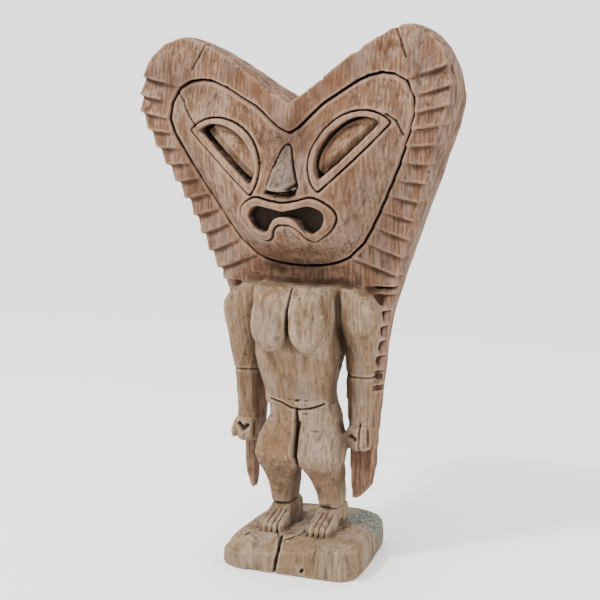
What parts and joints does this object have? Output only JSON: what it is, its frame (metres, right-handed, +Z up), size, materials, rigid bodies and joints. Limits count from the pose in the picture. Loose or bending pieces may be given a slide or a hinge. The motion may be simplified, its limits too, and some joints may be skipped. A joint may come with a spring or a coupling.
{
  "type": "tiki figure",
  "caption": "Free-standing carved wooden tiki figure: a large heart-shaped ridged crest and face over a small standing body with arms at its sides, on a rounded block base.",
  "frame": {"origin": "on the flat underside of the base block, on the figure's middle plane, below the ankles", "axes": "+Z up the figure, -Y the way the face looks, +X to the right of a viewer who faces the figure"},
  "size_m": [0.7156, 0.3416, 1.1948],
  "materials": {
    "wood_body": "weathered, matte",
    "wood_crest": "weathered, matte",
    "wood_face": "weathered, matte",
    "wood_grey": "weathered, matte",
    "wood_dark": "weathered, matte",
    "wood_base": "weathered, matte"
  },
  "bodies": {
    "root": {"base": "wood_base", "foot_left": "wood_body", "foot_right": "wood_body", "leg_left": "wood_body", "leg_right": "wood_body", "hips": "wood_body", "torso": "wood_body", "breast_left": "wood_body", "breast_right": "wood_body", "upper_arm_left": "wood_body", "upper_arm_right": "wood_body", "forearm_left": "wood_body", "forearm_right": "wood_body", "hand_left": "wood_body", "hand_right": "wood_body", "flange_left": "wood_crest", "flange_right": "wood_crest", "tail_left": "wood_crest", "tail_right": "wood_crest", "crest": "wood_crest", "crest_border_left": "wood_crest", "crest_border_right": "wood_crest", "face": "wood_face", "nose": "wood_grey", "lips": "wood_face", "eyelid_left": "wood_face", "eyelid_right": "wood_face", "eyeball_left": "wood_dark", "eyeball_right": "wood_dark"}
  },
  "joints": []
}
